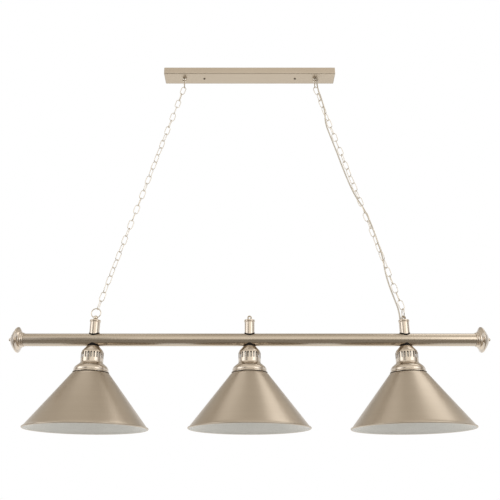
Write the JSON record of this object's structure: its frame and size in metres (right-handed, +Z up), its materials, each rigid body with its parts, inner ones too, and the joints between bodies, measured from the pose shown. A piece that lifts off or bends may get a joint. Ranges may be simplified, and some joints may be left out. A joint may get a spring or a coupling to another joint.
{
  "type": "pool table lamp",
  "caption": "Long bar light for a billiard table: conical metal shades under a round bar with turned end finials, hung by oval-link chains from a box canopy.",
  "frame": {"origin": "centre of the ceiling bracket's top face, on the ceiling plane", "axes": "+Z up to the ceiling, X along the bar, -Y the front"},
  "size_m": [1.452, 0.356, 1.226],
  "materials": {
    "black_plastic": "phenolic, gloss",
    "black_rubber": "matt",
    "bulb_white": "frosted",
    "chain_nickel": "bright nickel plated",
    "clear_plastic": "moulded",
    "cord_pvc": "pale translucent PVC",
    "lead_pvc": "PVC",
    "polished_nickel": "semi-bright nickel plated",
    "porcelain": "glazed",
    "satin_nickel": "brushed, satin",
    "shade_nickel": "spun and brushed outside, white enamel inside",
    "terminal_plastic": "moulded",
    "turned_nickel": "turned, satin nickel plated",
    "zinc_steel": "zinc plated"
  },
  "bodies": {
    "canopy": {"canopy": "satin_nickel", "ceiling_bracket": "zinc_steel", "canopy_screws": "polished_nickel", "eye_lock_nuts": "zinc_steel", "canopy_bushing": "clear_plastic", "terminal_block": "terminal_plastic", "earth_screw": "zinc_steel", "canopy_eye_left": "polished_nickel", "canopy_eye_right": "polished_nickel", "canopy_lead": "lead_pvc"},
    "top_link_right": {"top_link_right": "chain_nickel"},
    "top_link_left": {"top_link_left": "chain_nickel"},
    "chain_right": {"chain_right": "chain_nickel", "ring_right": "chain_nickel", "power_cord": "cord_pvc"},
    "chain_left": {"chain_left": "chain_nickel", "ring_left": "chain_nickel"},
    "bulb_left": {"bulb_left": "bulb_white"},
    "bulb_middle": {"bulb_middle": "bulb_white"},
    "bulb_right": {"bulb_right": "bulb_white"},
    "bar": {"ball_eye_left": "polished_nickel", "ball_eye_middle": "polished_nickel", "ball_eye_right": "polished_nickel", "bar_tube_left": "satin_nickel", "bar_tube_right": "satin_nickel", "ferrule_left": "satin_nickel", "ferrule_middle": "satin_nickel", "ferrule_right": "satin_nickel", "finial_left": "turned_nickel", "finial_right": "turned_nickel", "inlet_bushing": "clear_plastic", "joint_sleeve": "zinc_steel", "lamp_holder_left": "porcelain", "lamp_holder_middle": "porcelain", "lamp_holder_right": "porcelain", "neck_gaskets": "black_rubber", "neck_left": "satin_nickel", "neck_liners": "zinc_steel", "neck_middle": "satin_nickel", "neck_nuts": "zinc_steel", "neck_right": "satin_nickel", "saddle_washers": "black_rubber", "shade_gaskets": "black_rubber", "shade_left": "shade_nickel", "shade_middle": "shade_nickel", "shade_right": "shade_nickel", "shade_ring_left": "black_plastic", "shade_ring_middle": "black_plastic", "shade_ring_right": "black_plastic", "stems": "zinc_steel", "wiring_harness": "lead_pvc"}
  },
  "joints": [
    {"name": "swing", "type": "hinge", "parent": "canopy", "child": "top_link_right", "pos_m": [0.23, 0, -0.032], "axis": [1, 0, 0], "range_deg": [-15, 15]},
    {"name": "left_link_swing", "type": "hinge", "parent": "canopy", "child": "top_link_left", "pos_m": [-0.23, 0, -0.032], "axis": [1, 0, 0], "range_deg": [-15, 15]},
    {"name": "sway", "type": "hinge", "parent": "top_link_right", "child": "chain_right", "pos_m": [0.23, 0, -0.0625], "axis": [0, 1, 0], "range_deg": [-5, 5], "deforming": ["power_cord"]},
    {"name": "bar_tilt", "type": "hinge", "parent": "chain_right", "child": "bar", "pos_m": [0.47, 0, -0.8972], "axis": [0, 1, 0], "range_deg": [-2.5, 2.5]},
    {"name": "left_chain_tilt", "type": "hinge", "parent": "bar", "child": "chain_left", "pos_m": [-0.47, 0, -0.8972], "axis": [0, 1, 0], "range_deg": [-2.5, 2.5]},
    {"name": "bulb_turn_left", "type": "hinge", "parent": "bar", "child": "bulb_left", "pos_m": [-0.47, 0, -1.065], "axis": [0, 0, 1], "range_deg": [-1080, 0]},
    {"name": "bulb_turn_middle", "type": "hinge", "parent": "bar", "child": "bulb_middle", "pos_m": [0, 0, -1.065], "axis": [0, 0, 1], "range_deg": [-1080, 0]},
    {"name": "bulb_turn_right", "type": "hinge", "parent": "bar", "child": "bulb_right", "pos_m": [0.47, 0, -1.065], "axis": [0, 0, 1], "range_deg": [-1080, 0]}
  ],
  "couplings": [
    {"joint": "left_link_swing", "follows": "swing", "ratio": 1},
    {"joint": "bar_tilt", "follows": "sway", "ratio": -0.48936},
    {"joint": "left_chain_tilt", "follows": "sway", "ratio": 0.48936}
  ]
}
